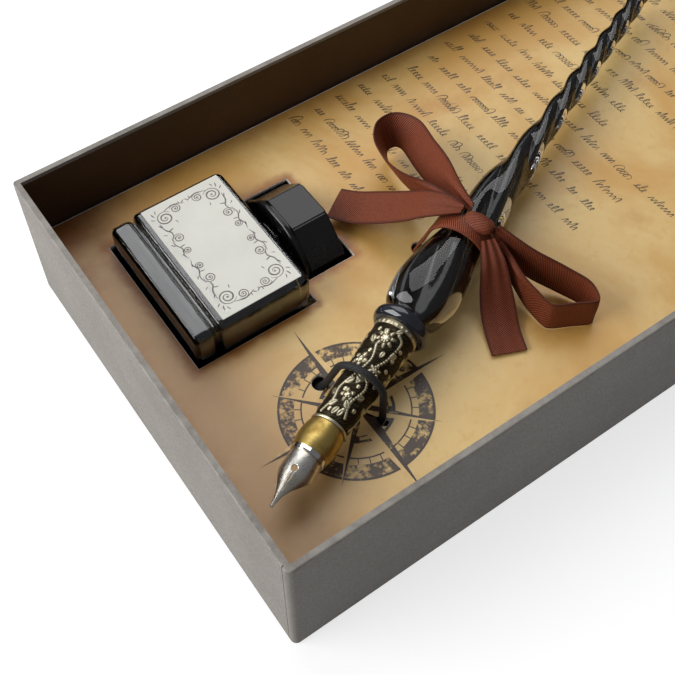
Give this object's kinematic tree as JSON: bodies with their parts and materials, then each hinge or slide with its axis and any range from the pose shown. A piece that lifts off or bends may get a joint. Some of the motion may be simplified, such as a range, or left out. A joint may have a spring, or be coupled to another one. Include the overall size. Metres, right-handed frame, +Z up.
{
  "type": "calligraphy set box",
  "caption": "Open rigid gift box with a printed card insert that holds a square ink bottle and a dip pen with a twisted glass handle under an elastic loop and a ribbon bow.",
  "frame": {"origin": "centre of the box's underside, where it stands on the table", "axes": "+X along the box's long side from the nib's end towards the pen's tail, +Y across it to the wall behind the bottle, +Z up"},
  "size_m": [0.248, 0.125, 0.042],
  "materials": {
    "greyboard": "matt",
    "stay_paper": "matt",
    "cover_paper": "grained satin",
    "lining_paper": "matt",
    "white_card": "matt",
    "parchment_print": "glossy print",
    "black_elastic": "braided",
    "ribbon": "woven",
    "bottle_glass": "clear",
    "ink": "liquid black",
    "label_paper": "matt",
    "clear_film": "clear film",
    "foam_liner": "foam",
    "black_plastic": "satin moulded",
    "clear_glass": "lampworked",
    "black_glass": "glossy black",
    "smoke_glass": "smoky",
    "antique_bronze": "antiqued",
    "aged_brass": "satin aged",
    "bright_ring": "polished",
    "plug_plastic": "dark",
    "nib_steel": "polished, engraved"
  },
  "bodies": {
    "box": {"board_bottom": "greyboard", "board_front": "greyboard", "board_back": "greyboard", "board_left": "greyboard", "board_right": "greyboard", "corner_stays": "stay_paper", "wrap_paper": "cover_paper", "wall_lining": "lining_paper", "floor_lining": "lining_paper"},
    "insert": {"insert_card": "white_card", "parchment_print": "parchment_print", "elastic_loop": "black_elastic", "ribbon_underlay": "ribbon"},
    "bottle": {"bottle_glass": "bottle_glass", "bottle_ink": "ink", "bottle_label": "label_paper", "shrink_film": "clear_film"},
    "cap_thread": {"cap_liner": "foam_liner"},
    "cap": {"bottle_cap": "black_plastic"},
    "pen": {"glass_handle": "clear_glass", "glass_core": "black_glass", "glass_collar": "smoke_glass", "pen_barrel": "antique_bronze", "nib_section": "aged_brass", "nib_ring": "bright_ring", "nib_plug": "plug_plastic"},
    "nib": {"steel_nib": "nib_steel"},
    "bow": {"ribbon_band": "ribbon", "ribbon_knot": "ribbon", "ribbon_left_loop": "ribbon", "ribbon_right_loop": "ribbon", "ribbon_left_tail": "ribbon", "ribbon_front_tail": "ribbon"}
  },
  "joints": [
    {"name": "insert_lift", "type": "slide", "parent": "box", "child": "insert", "axis": [0, 0, 1], "range_m": [0, 0.045]},
    {"name": "bottle_lift", "type": "slide", "parent": "insert", "child": "bottle", "axis": [0, 0, 1], "range_m": [0, 0.035]},
    {"name": "cap_rise", "type": "slide", "parent": "bottle", "child": "cap_thread", "axis": [1, 0, 0], "range_m": [0, 0.0013]},
    {"name": "cap_turn", "type": "hinge", "parent": "cap_thread", "child": "cap", "pos_m": [-0.066, 0.0224, 0.01727], "axis": [1, 0, 0], "range_deg": [0, 150]},
    {"name": "pen_draw", "type": "slide", "parent": "insert", "child": "pen", "axis": [0.9232, 0.3843, 0], "range_m": [0, 0.038]},
    {"name": "nib_pull", "type": "slide", "parent": "pen", "child": "nib", "axis": [-0.9232, -0.3843, 0], "range_m": [0, 0.0058]},
    {"name": "bow_lift", "type": "slide", "parent": "pen", "child": "bow", "axis": [0, 0, 1], "range_m": [0, 0.04]}
  ],
  "couplings": [
    {"joint": "cap_rise", "follows": "cap_turn", "m_per_rad": 0.00047746}
  ]
}
